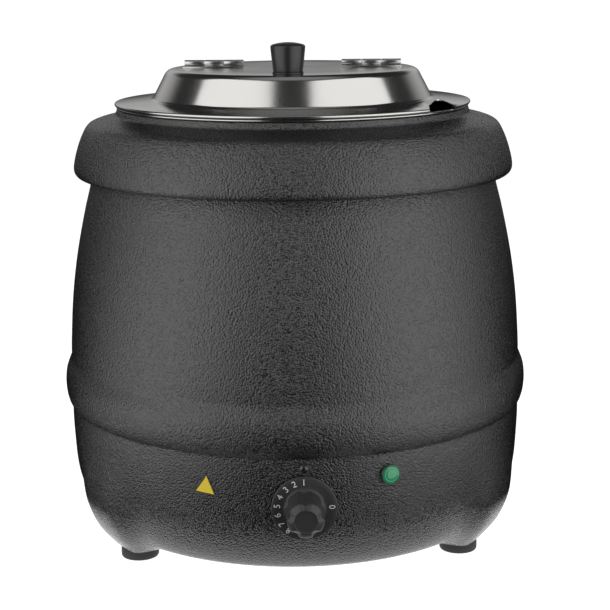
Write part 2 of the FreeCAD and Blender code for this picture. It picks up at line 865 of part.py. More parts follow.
def make_foot_screws():
    seat = (foot_circle, 0, foot_recess_depth)
    head = rod(foot_screw_head_radius, (foot_circle, 0, foot_recess_depth - foot_screw_head_height), seat)
    shank = rod(screw_radius, seat, (foot_circle, 0, foot_screw_top))
    return group(ring_of(head.fuse(shank).removeSplitter(), foot_angles.values()))


def make_foot_nuts():
    nut = small_nut(foot_circle, 0, bulge_floor + shell_sheet)
    return group(ring_of(nut, foot_angles.values()))


def make_lid_pieces():
    lid = whole_lid()
    pieces = {
        "lid_rear": make_lid_rear(lid),
        "lid_front": make_lid_front(lid),
        "lid_knob": make_lid_knob(),
        "knob_collar": make_knob_collar(),
        "knob_washer": make_knob_washer(),
        "knob_screw": make_knob_screw(),
    }
    for name, centre in (("left", -hinge_x), ("right", hinge_x)):
        pieces["hinge_rear_leaf_" + name] = make_hinge_leaf(centre, 1)
        pieces["hinge_front_leaf_" + name] = make_hinge_leaf(centre, -1)
        pieces["hinge_pin_" + name] = make_hinge_pin(centre)
    return {name: turned(shape, lid_turn) for name, shape in pieces.items()}


def make_pieces():
    pieces = {
        "outer_shell": make_outer_shell(),
        "top_ring": make_top_ring(),
        "well_gasket": make_well_gasket(),
        "water_well": make_water_well(),
        "well_stud": make_well_stud(),
        "element_ring": make_element_ring(),
        "element_clamp": make_element_clamp(),
        "clamp_nut": make_clamp_nut(),
        "sensor_bulb": make_sensor_bulb(),
        "bulb_clip": make_bulb_clip(),
        "capillary_tube": make_capillary_tube(),
        "thermal_cutout": make_thermal_cutout(),
        "thermostat_body": make_thermostat_body(),
        "thermostat_bracket": make_thermostat_bracket(),
        "thermostat_screws": make_thermostat_screws(),
        "thermostat_shaft": make_thermostat_shaft(),
        "control_dial": make_control_dial(),
        "indicator_lens": make_indicator_lens(),
        "indicator_body": make_indicator_body(),
        "indicator_clip": make_indicator_clip(),
        "caution_label": make_caution_label(),
        "gland_body": make_gland_body(),
        "gland_locknut": make_gland_locknut(),
        "gland_dome_nut": make_gland_dome_nut(),
        "gland_seal": make_gland_seal(),
        "terminal_block": make_terminal_block(),
        "terminal_screws": make_terminal_screws(),
        "earth_stud": make_earth_stud(),
        "earth_nut": make_earth_nut(),
        "base_cover": make_base_cover(),
        "base_screws": make_base_screws(),
        "foot_screws": make_foot_screws(),
        "foot_nuts": make_foot_nuts(),
        "soup_pot": make_soup_pot(),
    }
    for name, angle in foot_angles.items():
        pieces["foot_" + name] = make_foot(angle)
    pieces.update(make_lid_pieces())
    return pieces


os.makedirs("parts", exist_ok=True)
for node, shape in make_pieces().items():
    shape.exportStep("parts/" + node + ".step")
    box = shape.BoundBox
    low = [round(v, 1) for v in (box.XMin, box.YMin, box.ZMin)]
    high = [round(v, 1) for v in (box.XMax, box.YMax, box.ZMax)]
    counts = [len(shape.Solids), "solids,", round(shape.Volume), "mm3"]
    print(node, shape.isValid(), *counts, "from", low, "to", high)
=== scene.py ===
import math

import bmesh
import bpy
from mathutils import Matrix, Vector


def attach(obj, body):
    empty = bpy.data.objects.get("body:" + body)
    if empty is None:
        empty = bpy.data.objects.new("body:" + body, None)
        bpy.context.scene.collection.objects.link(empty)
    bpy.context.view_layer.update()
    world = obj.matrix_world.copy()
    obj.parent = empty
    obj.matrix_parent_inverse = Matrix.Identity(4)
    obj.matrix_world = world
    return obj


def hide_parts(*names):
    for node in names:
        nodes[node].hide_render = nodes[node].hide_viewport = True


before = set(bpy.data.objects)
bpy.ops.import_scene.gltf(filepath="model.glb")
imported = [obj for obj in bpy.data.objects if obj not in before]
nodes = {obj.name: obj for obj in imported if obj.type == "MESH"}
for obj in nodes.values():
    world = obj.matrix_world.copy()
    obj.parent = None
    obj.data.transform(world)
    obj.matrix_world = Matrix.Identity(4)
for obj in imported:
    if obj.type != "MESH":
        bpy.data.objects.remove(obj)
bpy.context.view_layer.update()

mm = 0.001
mergeDistance = 0.02 * mm   # points nearer than this become one
print("frame loaded:", len(nodes), "nodes")


# ---- general helpers

def linearColour(hexCode):
    # sRGB hex to the linear values the shaders work in
    channels = [int(hexCode[i:i + 2], 16) / 255 for i in (1, 3, 5)]
    return [c / 12.92 if c <= 0.04045 else ((c + 0.055) / 1.055) ** 2.4 for c in channels] + [1.0]


def addNode(tree, kind, settings=None, inputs=None):
    node = tree.nodes.new(kind)
    for name, value in (settings or {}).items():
        setattr(node, name, value)
    for name, value in (inputs or {}).items():
        if isinstance(value, bpy.types.NodeSocket):
            tree.links.new(value, node.inputs[name])
        else:
            node.inputs[name].default_value = value
    return node


def addMath(tree, operation, *values):
    return addNode(tree, "ShaderNodeMath", {"operation": operation}, dict(enumerate(values))).outputs[0]


def addFade(tree, value, start, full, least=0.0, most=1.0):
    # runs softly from least at start to most at full
    fade = addNode(tree, "ShaderNodeMapRange", {"interpolation_type": "SMOOTHSTEP"},
                   {"Value": value, "From Min": start, "From Max": full, "To Min": least, "To Max": most})
    return fade.outputs["Result"]


def addGloss(tree, shader, pattern, low, high):
    # the shader's roughness wanders between low and high with a noise pattern
    patternLow, patternHigh = 0.3, 0.7   # nearly all of a noise lies between these
    gloss = addNode(tree, "ShaderNodeMapRange", inputs={"Value": pattern, "From Min": patternLow,
                    "From Max": patternHigh, "To Min": low, "To Max": high})
    tree.links.new(gloss.outputs["Result"], shader.inputs["Roughness"])


def newMaterial(name, colour, **shaderValues):
    # returns the material, its node tree and its shader, with plain values on the shader's own sockets
    material = bpy.data.materials.new(name)
    material.use_nodes = True
    shader = material.node_tree.nodes["Principled BSDF"]
    shader.inputs["Base Color"].default_value = linearColour(colour)
    for socket, value in shaderValues.items():
        shader.inputs[socket.replace("_", " ")].default_value = value
    return material, material.node_tree, shader


def smoothLine(points, perSpan):
    # a Catmull-Rom line through the points
    ends = [points[0]] + list(points) + [points[-1]]
    line = []
    for a, b, c, d in zip(ends, ends[1:], ends[2:], ends[3:]):
        for i in range(perSpan):
            t = i / perSpan
            line.append(tuple(0.5 * (2 * q + (r - p) * t + (2 * p - 5 * q + 4 * r - s) * t * t
                                     + (3 * q - p - 3 * r + s) * t ** 3) for p, q, r, s in zip(a, b, c, d)))
    return line + [tuple(points[-1])]


def arcLine(centre, radius, startDegrees, endDegrees, count):
    steps = [math.radians(startDegrees + (endDegrees - startDegrees) * i / count) for i in range(count + 1)]
    return [(centre[0] + radius * math.cos(a), centre[1] + radius * math.sin(a)) for a in steps]


def spunMesh(outline, steps):
    # turns an outline of (radius, height) pairs, in millimetres, round the Z axis
    bm = bmesh.new()
    corners = [bm.verts.new((r * mm, 0, z * mm)) for r, z in outline]
    edges = [bm.edges.new(pair) for pair in zip(corners, corners[1:])]
    bmesh.ops.spin(bm, geom=corners + edges, cent=(0, 0, 0), axis=(0, 0, 1), angle=2 * math.pi,
                   steps=steps, use_merge=True, use_duplicate=False)
    bmesh.ops.remove_doubles(bm, verts=bm.verts, dist=mergeDistance)
    bmesh.ops.recalc_face_normals(bm, faces=bm.faces)
    return bm


def ease(t):
    # 0 below 0 and 1 above 1, with a soft start and end between
    t = max(0.0, min(1.0, t))
    return t * t * t * (t * (6 * t - 15) + 10)


def finishPiece(bm, name, body, materials, replaced=(), smooth=True, angle=35):
    # angle, in degrees, is where shading turns sharp
    mesh = bpy.data.meshes.new(name)
    bm.to_mesh(mesh)
    bm.free()
    piece = bpy.data.objects.new(name, mesh)
    bpy.context.scene.collection.objects.link(piece)
    for material in materials:
        mesh.materials.append(material)
    if smooth:
        mesh.shade_smooth()
        mesh.set_sharp_from_angle(angle=math.radians(angle))
    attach(piece, body)
    if replaced:
        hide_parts(*replaced)
    return piece


def addWall(piece, thickness):
    # gives a single skin its sheet thickness, in millimetres, on the inside
    wall = piece.modifiers.new("sheetWall", "SOLIDIFY")
    wall.thickness = thickness * mm
    wall.offset = -1


def aroundZ(degrees):
    return Matrix.Rotation(math.radians(degrees), 4, "Z")


# ---- camera, light and floor

cameraPlace = {"distance": 1.082, "height": 0.411, "pitch": 12.67, "azimuth": -1.8, "roll": -0.57,
               "lens": 87.93, "sensor": 36.0, "shiftX": 0.0174, "clipStart": 0.05}


def makeCamera():
    camera = bpy.data.objects.new("camera", bpy.data.cameras.new("camera"))
    bpy.context.scene.collection.objects.link(camera)
    camera.data.lens = cameraPlace["lens"]
    camera.data.sensor_width = cameraPlace["sensor"]
    camera.data.shift_x = cameraPlace["shiftX"]
    camera.data.clip_start = cameraPlace["clipStart"]
    turn = aroundZ(cameraPlace["azimuth"])
    place = Matrix.Translation((0, -cameraPlace["distance"], cameraPlace["height"]))
    tilt = Matrix.Rotation(math.radians(90 - cameraPlace["pitch"]), 4, "X")
    camera.matrix_world = turn @ place @ tilt @ aroundZ(cameraPlace["roll"])
    bpy.context.scene.camera = camera


# azimuth of each softbox is in degrees from the front, positive to the right; sizes are in metres
softboxes = {
    "softboxLeft": {"azimuth": -60, "distance": 1.25, "height": 1.2, "size": (1.95, 2.4), "power": 22.0},
    "softboxRight": {"azimuth": 56, "distance": 1.25, "height": 1.2, "size": (2.1, 2.4), "power": 23.7},
}
# what reflections see: a pale band of wall behind, a dim room, and a little light overhead; wallStart and
# wallFull are the backward part of a direction, and the other places are its upward part
room = {"dim": 0.03, "backWall": 0.55, "wallStart": 0.3, "wallFull": 0.9, "wallTop": 0.3, "ceiling": 0.44,
        "wallFoot": -0.02, "wallRise": 0.2, "overhead": 0.32, "overheadStart": 0.86, "overheadFull": 0.97,
        "backdrop": 1.05}
white = (1, 1, 1, 1)


def makeSoftboxes():
    for name, box in softboxes.items():
        light = bpy.data.lights.new(name, "AREA")
        light.shape = "RECTANGLE"
        light.size, light.size_y = box["size"]
        light.energy = box["power"]
        panel = bpy.data.objects.new(name, light)
        bpy.context.scene.collection.objects.link(panel)
        azimuth = math.radians(box["azimuth"])
        back = Vector((math.sin(azimuth), -math.cos(azimuth), 0))
        panel.location = Vector((0, 0, box["height"])) + back * box["distance"]
        panel.rotation_mode = "QUATERNION"
        panel.rotation_quaternion = (-back).to_track_quat("-Z", "Y")


def makeRoom():
    # plain white to the camera, and the room above to every reflection
    world = bpy.data.worlds.new("studio")
    bpy.context.scene.world = world
    world.use_nodes = True
    tree = world.node_tree
    tree.nodes.clear()
    place = addNode(tree, "ShaderNodeTexCoord")
    axes = addNode(tree, "ShaderNodeSeparateXYZ", inputs={"Vector": place.outputs["Generated"]})
    behind = addFade(tree, axes.outputs["Y"], room["wallStart"], room["wallFull"])
    low = addFade(tree, axes.outputs["Z"], room["ceiling"], room["wallTop"])
    high = addFade(tree, axes.outputs["Z"], room["wallFoot"], room["wallRise"])
    wall = addMath(tree, "MULTIPLY", behind, addMath(tree, "MULTIPLY", low, high))
    above = addFade(tree, axes.outputs["Z"], room["overheadStart"], room["overheadFull"],
                    room["dim"], room["overhead"])
    strength = addMath(tree, "MULTIPLY_ADD", wall, room["backWall"], above)
    rays = addNode(tree, "ShaderNodeLightPath")
    reflected = addNode(tree, "ShaderNodeBackground", inputs={"Color": white, "Strength": strength})
    backdrop = addNode(tree, "ShaderNodeBackground", inputs={"Color": white, "Strength": room["backdrop"]})
    mix = addNode(tree, "ShaderNodeMixShader", inputs={0: rays.outputs["Is Camera Ray"],
                                                       1: reflected.outputs[0], 2: backdrop.outputs[0]})
    addNode(tree, "ShaderNodeOutputWorld", inputs={"Surface": mix.outputs[0]})
    bpy.context.scene.view_settings.view_transform = "Standard"


# the table throws light back from close under the object, and from further off to the front left and right;
# angles are in degrees from the front, and every place from underInner on is metres from the middle
floorLook = {"radius": 1.6, "rimPoints": 96, "glow": 1.0, "bounce": 1.4, "gapMiddle": -6, "gapInner": 13,
             "gapOuter": 36, "sideInner": 80, "sideOuter": 102, "underInner": 0.165, "underOuter": 0.2,
             "awayInner": 0.24, "awayOuter": 0.36}


def makeFloor():
    bm = bmesh.new()
    bmesh.ops.create_circle(bm, cap_ends=True, segments=floorLook["rimPoints"],
                            radius=floorLook["radius"])
    mesh = bpy.data.meshes.new("floor")
    bm.to_mesh(mesh)
    bm.free()
    floor = bpy.data.objects.new("floor", mesh)
    bpy.context.scene.collection.objects.link(floor)
    material, tree, shader = newMaterial("paleTable", "#b4b4b4", Roughness=0.7)
    shader.inputs["Emission Color"].default_value = white
    shader.inputs["Emission Strength"].default_value = floorLook["glow"]
    place = addNode(tree, "ShaderNodeTexCoord")
    axes = addNode(tree, "ShaderNodeSeparateXYZ", inputs={"Vector": place.outputs["Object"]})
    turned = addMath(tree, "ARCTAN2", axes.outputs["X"], addMath(tree, "MULTIPLY", axes.outputs["Y"], -1.0))
    shifted = addMath(tree, "SUBTRACT", turned, math.radians(floorLook["gapMiddle"]))
    aside = addMath(tree, "ABSOLUTE", shifted)
    gap = addFade(tree, aside, math.radians(floorLook["gapInner"]), math.radians(floorLook["gapOuter"]))
    side = addFade(tree, aside, math.radians(floorLook["sideOuter"]), math.radians(floorLook["sideInner"]))
    distance = addNode(tree, "ShaderNodeVectorMath", {"operation": "LENGTH"}, {0: place.outputs["Object"]})
    away = addFade(tree, distance.outputs["Value"], floorLook["awayInner"], floorLook["awayOuter"])
    under = addFade(tree, distance.outputs["Value"], floorLook["underOuter"], floorLook["underInner"])
    sector = addMath(tree, "MULTIPLY", addMath(tree, "MULTIPLY", gap, side), away)
    bounce = addMath(tree, "MULTIPLY", addMath(tree, "MAXIMUM", sector, under), floorLook["bounce"])
    thrown = addNode(tree, "ShaderNodeEmission", inputs={"Strength": bounce})
    rays = addNode(tree, "ShaderNodeLightPath")
    mix = addNode(tree, "ShaderNodeMixShader", inputs={0: rays.outputs["Is Camera Ray"],
                                                       1: thrown.outputs[0], 2: shader.outputs[0]})
    tree.links.new(mix.outputs[0], tree.nodes["Material Output"].inputs["Surface"])
    mesh.materials.append(material)


makeCamera()
makeSoftboxes()
makeRoom()
makeFloor()
print("camera, lights and floor made")


# ---- materials

# grain sizes and depth are in millimetres; fineShare is how much the fine grain adds to the pebbles
coat = {"colour": "#171718", "pebbleMm": 1.15, "fineMm": 0.6, "depthMm": 0.54, "roundness": 0.55,
        "bend": 0.6, "bendPebbles": 4, "fineShare": 0.3, "roughness": (0.18, 0.28), "ior": 1.72}


def makePowderCoat():
    # textured epoxy powder coat on steel: black, with a pebbled hammer grain that glints in a broad sheen
    pebble = coat["pebbleMm"] * mm
    material, tree, shader = newMaterial("texturedPowderCoat", coat["colour"], IOR=coat["ior"])
    place = addNode(tree, "ShaderNodeTexCoord")
    warp = addNode(tree, "ShaderNodeTexNoise", inputs={"Vector": place.outputs["Object"],
                   "Scale": 1 / (coat["bendPebbles"] * pebble), "Detail": 2.0})
    bent = addNode(tree, "ShaderNodeVectorMath", {"operation": "MULTIPLY_ADD"},
                   {0: warp.outputs["Color"], 1: (coat["bend"] * pebble,) * 3, 2: place.outputs["Object"]})
    pebbles = addNode(tree, "ShaderNodeTexVoronoi", {"feature": "SMOOTH_F1"},
                      {"Vector": bent.outputs["Vector"], "Scale": 1 / pebble, "Smoothness": coat["roundness"],
                       "Randomness": 1.0})
    fine = addNode(tree, "ShaderNodeTexNoise", inputs={"Vector": place.outputs["Object"],
                   "Scale": 1 / (coat["fineMm"] * mm), "Detail": 2.0, "Roughness": 0.5})
    height = addMath(tree, "MULTIPLY_ADD", fine.outputs["Fac"], coat["fineShare"],
                     pebbles.outputs["Distance"])
    bump = addNode(tree, "ShaderNodeBump", {"invert": True},
                   {"Height": height, "Strength": 1.0, "Distance": coat["depthMm"] * mm})
    addGloss(tree, shader, fine.outputs["Fac"], *coat["roughness"])
    tree.links.new(bump.outputs["Normal"], shader.inputs["Normal"])
    return material


# the real polishing lines are finer than ringMm; drawn this wide so that they show
polish = {"colour": "#bdbcba", "ringMm": 0.8, "ringDepthMm": 0.03, "ringStrength": 0.02,
          "smearsPerMetre": 18.0, "roughness": (0.11, 0.2)}


def makeSpunStainless():
    # 18/10 stainless sheet, pressed and polished round its axis: bright, with hair-fine rings
    material, tree, shader = newMaterial("polishedStainless", polish["colour"], Metallic=1.0)
    place = addNode(tree, "ShaderNodeTexCoord")
    axes = addNode(tree, "ShaderNodeSeparateXYZ", inputs={"Vector": place.outputs["Object"]})
    flat = addNode(tree, "ShaderNodeCombineXYZ", inputs={"X": axes.outputs["X"], "Y": axes.outputs["Y"]})
    radius = addNode(tree, "ShaderNodeVectorMath", {"operation": "LENGTH"}, {0: flat.outputs["Vector"]})
    across = addMath(tree, "SUBTRACT", radius.outputs["Value"], axes.outputs["Z"])
    rings = addNode(tree, "ShaderNodeTexNoise", {"noise_dimensions": "1D"},
                    {"W": across, "Scale": 1 / (polish["ringMm"] * mm), "Detail": 3.0, "Roughness": 0.6})
    bump = addNode(tree, "ShaderNodeBump", inputs={"Height": rings.outputs["Fac"],
                   "Strength": polish["ringStrength"], "Distance": polish["ringDepthMm"] * mm})
    smear = addNode(tree, "ShaderNodeTexNoise", inputs={"Vector": place.outputs["Object"],
                    "Scale": polish["smearsPerMetre"], "Detail": 2.0})
    addGloss(tree, shader, smear.outputs["Fac"], *polish["roughness"])
    tree.links.new(bump.outputs["Normal"], shader.inputs["Normal"])
    return material


def makeGrained(name, colour, grainMm, depthMm, roughness, spread, **shaderValues):
    # a finish with an even fine grain: grain size and depth in millimetres, roughness varied by the spread
    material, tree, shader = newMaterial(name, colour, **shaderValues)
    place = addNode(tree, "ShaderNodeTexCoord")
    grain = addNode(tree, "ShaderNodeTexNoise", inputs={"Vector": place.outputs["Object"],
                    "Scale": 1 / (grainMm * mm), "Detail": 3.0, "Roughness": 0.6})
    bump = addNode(tree, "ShaderNodeBump", inputs={"Height": grain.outputs["Fac"], "Strength": 0.5,
                                                   "Distance": depthMm * mm})
    addGloss(tree, shader, grain.outputs["Fac"], roughness - spread, roughness + spread)
    tree.links.new(bump.outputs["Normal"], shader.inputs["Normal"])
    return material


powderCoat = makePowderCoat()
stainless = makeSpunStainless()
# the same powder coat where it has run smooth over a small pressed pip
smoothCoat = makeGrained("smoothPowderCoat", "#171718", 0.8, 0.01, 0.2, 0.03, IOR=1.72)
# nickel-bright rolled hinge steel: mirror-like with faint drawing marks
hingeSteel = makeGrained("brightHingeSteel", "#c4c4c2", 1.2, 0.001, 0.22, 0.03, Metallic=1.0)
# phenolic (bakelite) moulding: deep black, even semi-matt skin
phenolic = makeGrained("blackPhenolic", "#1b1b1c", 0.7, 0.01, 0.36, 0.06, IOR=1.55)
# the same moulding left matt and faded a little by cleaning
mattPhenolic = makeGrained("mattPhenolic", "#2d2d2e", 0.7, 0.01, 0.48, 0.05, IOR=1.55)
# pad-printed white ink: flat, slightly chalky
dialInk = makeGrained("whitePadInk", "#d8d8d6", 0.5, 0.01, 0.6, 0.05)
# moulded nitrile rubber: charcoal, dry and dusty
rubber = makeGrained("nitrileRubber", "#232323", 0.6, 0.03, 0.75, 0.08)
# injection-moulded nylon 6: black with a soft pebble
nylon = makeGrained("blackNylon", "#1f1f20", 0.9, 0.03, 0.5, 0.06)
# the same nylon uncoloured: milky white, slightly waxy
whiteNylon = makeGrained("naturalNylon", "#dcdad2", 0.9, 0.02, 0.45, 0.05)
# spun aluminium, satin from the tool
aluminium = makeGrained("satinAluminium", "#c4c5c7", 0.5, 0.02, 0.34, 0.06, Metallic=1.0)
# bright zinc plate: bluish grey and slightly cloudy
zinc = makeGrained("brightZinc", "#b9bcbd", 2.5, 0.01, 0.32, 0.08, Metallic=1.0)
# incoloy element sheath: dull olive grey from heat
sheath = makeGrained("heatedSheath", "#5b574e", 1.0, 0.02, 0.5, 0.08, Metallic=1.0)
# drawn copper, a little tarnished
copper = makeGrained("drawnCopper", "#b3714c", 1.5, 0.01, 0.32, 0.08, Metallic=1.0)
# cast silicone strip: brick red, soft
silicone = makeGrained("redSilicone", "#8e3b2e", 1.0, 0.02, 0.6, 0.05)
# printed polyester film: smooth satin ink
yellowFilm = makeGrained("yellowFilm", "#e6cb2c", 0.8, 0.005, 0.4, 0.04)
blackFilm = makeGrained("blackFilm", "#241f14", 0.8, 0.005, 0.4, 0.04)
# tinted polycarbonate lens: clear green with a glossy skin
lensGreen = makeGrained("greenPolycarbonate", "#1f9464", 1.0, 0.005, 0.16, 0.03, IOR=1.58,
                        Subsurface_Weight=0.3, Coat_Weight=0.3)
greenSpread = (0.001, 0.004, 0.002)   # red, green and blue light reach this far into the lens, in metres
lensGreen.node_tree.nodes["Principled BSDF"].inputs["Subsurface Radius"].default_value = greenSpread
# the same lens moulding, with the darkening its rim shows when seen edge on painted into its colour as
# painted shade
lensEdgePaintedShade = makeGrained("greenPolycarbonatePaintedShade", "#0d4a30", 1.0, 0.005, 0.2, 0.03, IOR=1.58)
print("materials made")


# ---- barrel shell and foot bulges

barrel = {"steps": 288, "wallPoints": 5, "beadPoints": 4, "sheet": 1.2, "footCircle": 133.0,
          "footAngles": (-30.0, 90.0, 210.0), "bulgeFlat": 12.0, "bulgeFade": 46.0}
# outer face of the barrel from inside the cap ring down to the bead, then the bead
barrelUpper = [(134.0, 305.0), (139.5, 305.0), (142.0, 302.0), (143.0, 284.0), (146.3, 264.0), (152.1, 241.0),
               (158.3, 211.0), (162.5, 181.0), (164.8, 150.0), (165.2, 138.5)]
barrelBead = [(165.2, 138.5), (165.7, 136.2), (167.6, 131.5), (169.3, 126.5), (170.0, 119.5), (169.6, 112.5),
              (168.5, 107.6), (167.0, 104.4), (165.9, 103.3), (165.7, 101.5)]
# below the bead: the plain wall, and beside it the wall where it swells over a foot
barrelLower = [(165.7, 101.5), (165.7, 91.0), (165.2, 78.0), (164.4, 64.0), (163.3, 55.0), (161.7, 48.0),
               (159.5, 41.0), (156.9, 34.0), (154.0, 28.0), (150.6, 23.4), (146.5, 20.8), (142.0, 20.0),
               (132.0, 20.0), (120.0, 20.0), (110.0, 20.0), (100.0, 20.0), (92.0, 20.0)]
barrelFoot = [(165.7, 101.5), (165.8, 91.0), (165.7, 78.0), (166.2, 62.0), (166.4, 52.0), (165.8, 43.5),
              (164.2, 37.0), (161.6, 30.0), (158.2, 23.0), (154.4, 17.3), (150.6, 12.8), (147.0, 9.6),
              (138.0, 8.75), (121.0, 8.75), (109.0, 12.5), (100.0, 19.0), (92.0, 20.0)]


def makeShell():
    plain = smoothLine(barrelLower, barrel["wallPoints"])
    swollen = smoothLine(barrelFoot, barrel["wallPoints"])
    upper = smoothLine(barrelUpper, barrel["wallPoints"])[:-1]
    upper += smoothLine(barrelBead, barrel["beadPoints"])[:-1]
    innerEdge = plain[-1][0] + 0.5
    bm = spunMesh(upper + plain, barrel["steps"])
    for v in bm.verts:
        radius, height = math.hypot(v.co.x, v.co.y) / mm, v.co.z / mm
        if height > plain[0][1] or radius < innerEdge:
            continue
        gaps = [(r - radius) ** 2 + (z - height) ** 2 for r, z in plain]
        nearest = gaps.index(min(gaps))
        azimuth = math.degrees(math.atan2(v.co.y, v.co.x))
        off = min(abs((azimuth - foot + 180) % 360 - 180) for foot in barrel["footAngles"])
        aside = math.radians(off) * radius
        share = 1 - ease((aside - barrel["bulgeFlat"]) / (barrel["bulgeFade"] - barrel["bulgeFlat"]))
        out, rise = (b - a for a, b in zip(plain[nearest], swollen[nearest]))
        grow = 1 + share * out / radius
        v.co = Vector((v.co.x * grow, v.co.y * grow, v.co.z + share * rise * mm))
    shell = finishPiece(bm, "barrelShell", "base", [powderCoat], ["outer_shell"])
    addWall(shell, barrel["sheet"])


wallMark = {"width": 6.2, "height": 5.4, "rise": 1.7, "z": 96.0, "wallRadius": 165.3,
            "around": 24, "over": 14}


def makeWallMark():
    # the small pressed-out pointer that the dial numbers are read against
    bm = bmesh.new()
    bmesh.ops.create_uvsphere(bm, u_segments=wallMark["around"], v_segments=wallMark["over"], radius=1.0)
    bmesh.ops.scale(bm, vec=(wallMark["width"] / 2 * mm, wallMark["rise"] * mm, wallMark["height"] / 2 * mm),
                    verts=bm.verts)
    bmesh.ops.translate(bm, vec=(0, -wallMark["wallRadius"] * mm, wallMark["z"] * mm), verts=bm.verts)
    finishPiece(bm, "dialPointer", "base", [smoothCoat])


makeShell()
makeWallMark()
print("barrel shell made")


# ---- cap ring

capRing = {"steps": 288, "points": 4, "sheet": 1.5}
# outer face from the lip round the mouth, over the shoulder and tucked in under the skirt
capOutline = [(124.6, 313.6), (124.7, 314.9), (125.3, 315.6), (126.0, 315.4), (126.6, 314.0), (127.4, 311.8),
              (129.2, 310.6), (133.4, 309.4), (138.0, 308.3), (142.6, 307.0), (146.4, 305.2), (148.9, 302.4),
              (151.0, 298.6), (153.6, 292.6), (155.8, 286.0), (157.4, 279.8), (158.1, 275.4), (157.9, 272.4),
              (156.6, 270.2), (154.2, 269.0), (150.6, 268.4), (147.6, 268.0)]


def makeCapRing():
    bm = spunMesh(smoothLine(capOutline, capRing["points"]), capRing["steps"])
    ring = finishPiece(bm, "capRing", "base", [powderCoat], ["top_ring"])
    addWall(ring, capRing["sheet"])


makeCapRing()
print("cap ring made")


# ---- soup pot

pot = {"steps": 192, "sheet": 0.8, "inner": 121.0, "bottom": 92.0, "corner": 14.0, "rimRadius": 126.4,
       "rimTop": 317.45, "rimBottom": 316.0, "mouth": 1.6, "neck": 1.0, "neckDrop": 0.8,
       "wallTop": 314.0}


def makePot():
    hem = (pot["rimTop"] - pot["rimBottom"]) / 2
    middle = (pot["rimRadius"] - hem, pot["rimTop"] - hem)
    outside = pot["inner"] + pot["sheet"]
    base = pot["bottom"] - pot["sheet"]
    cornerAt = (pot["inner"] - pot["corner"], pot["bottom"] + pot["corner"])
    across = (0, 40, 80)
    rows = (150, 200, 250, 300)
    mouth, neck = pot["mouth"], pot["neck"]
    inside = [(r, pot["bottom"]) for r in across]
    inside += arcLine(cornerAt, pot["corner"], -90, 0, 10)
    inside += [(pot["inner"], z) for z in rows + (pot["wallTop"],)]
    inside += arcLine((pot["inner"] + mouth, pot["rimTop"] - mouth), mouth, 180, 90, 5)
    rim = arcLine(middle, hem, 90, -90, 8)
    outer = [(outside + mouth, pot["rimBottom"] + 0.2)]
    outer += arcLine((outside + neck, pot["rimBottom"] - pot["neckDrop"]), neck, 90, 180, 4)
    outer += [(outside, z) for z in rows[::-1]]
    outer += arcLine(cornerAt, pot["corner"] + pot["sheet"], 0, -90, 10)
    outer += [(r, base) for r in across[::-1]]
    bm = spunMesh(inside + rim + outer, pot["steps"])
    finishPiece(bm, "soupPot", "pot", [stainless], ["soup_pot"])


makePot()
print("soup pot made")


# ---- lid halves

lid = {"steps": 288, "turn": -4.1, "radius": 127.7, "hemBottom": 317.8, "hemTop": 320.0, "sheet": 0.8,
       "baseRadius": 100.6, "baseHeight": 321.9, "top": 343.0, "cornerRadius": 89.4, "shoulder": 7.0,
       "foot": 3.0, "hemInner": 124.6, "splitY": 10.0, "splitGap": 1.0}
# ladle notch in the front half's flange, as places on the lid before it is turned; its edge is pressed up
ladleNotch = {"outline": [(94.5, -95.0), (94.9, -65.0), (102.0, -48.5), (120.0, -62.0)], "corner": 3.0,
              "from": 310.0, "depth": 20.0, "crown": (101.0, -50.0), "reach": 17.0, "fade": 6.0, "lift": 2.6}


def roundedLine(corners, radii, count=8):
    # straight runs through (radius, height) corners, with a tangent arc at each inner corner
    line = [Vector(corners[0])]
    for before, corner, after, radius in zip(corners, corners[1:], corners[2:], radii):
        here = Vector(corner)
        back = (Vector(before) - here).normalized()
        ahead = (Vector(after) - here).normalized()
        half = back.angle(ahead) / 2
        first = here + back * radius / math.tan(half)
        last = here + ahead * radius / math.tan(half)
        centre = here + (back + ahead).normalized() * radius / math.sin(half)
        for i in range(count + 1):
            point = first.lerp(last, i / count)
            line.append(centre + (point - centre).normalized() * radius)
    return [tuple(p) for p in line + [Vector(corners[-1])]]


def lidOutline():
    # top face from the middle out, round the hem, and back along the underside
    hem = (lid["hemTop"] - lid["hemBottom"]) / 2
    top, drop, foot, inner = lid["top"], lid["sheet"], lid["foot"], lid["hemInner"]
    edge = (lid["radius"] - hem, lid["hemTop"])
    corners = [(60, top), (lid["cornerRadius"], top), (lid["baseRadius"], lid["baseHeight"]), edge]
    upper = [(0, top), (30, top)] + roundedLine(corners, [lid["shoulder"], foot])
    # the slope is moved in a little so that the sheet is as thick there as on the flats
    slopeIn = 0.75 * drop
    lowerCorners = [(60, top - drop), (lid["cornerRadius"] - slopeIn, top - drop),
                    (lid["baseRadius"] - slopeIn, lid["baseHeight"] - drop),
                    (inner - 0.2, lid["hemTop"] - drop + 0.2)]
    lower = roundedLine(lowerCorners, [lid["shoulder"] - drop, foot + drop])[::-1]
    rim = arcLine((edge[0], edge[1] - hem), hem, 90, -90, 8)[1:]
    under = [(inner, lid["hemBottom"] + 0.3), (inner - 0.15, lid["hemBottom"] + 0.9)]
    return upper + rim + under + lower + [(30, top - drop), (0, top - drop)]


def halfLid(side):
    # side is 1 for the rear half and -1 for the front one; the cut face is closed again
    bm = spunMesh(lidOutline(), lid["steps"])
    cut = (lid["splitY"] + side * lid["splitGap"] / 2) * mm
    geometry = list(bm.verts) + list(bm.edges) + list(bm.faces)
    bmesh.ops.bisect_plane(bm, geom=geometry, plane_co=(0, cut, 0), plane_no=(0, -side, 0), clear_outer=True)
    rim = [e for e in bm.edges if len(e.link_faces) == 1]
    bmesh.ops.holes_fill(bm, edges=rim, sides=0)
    return bm


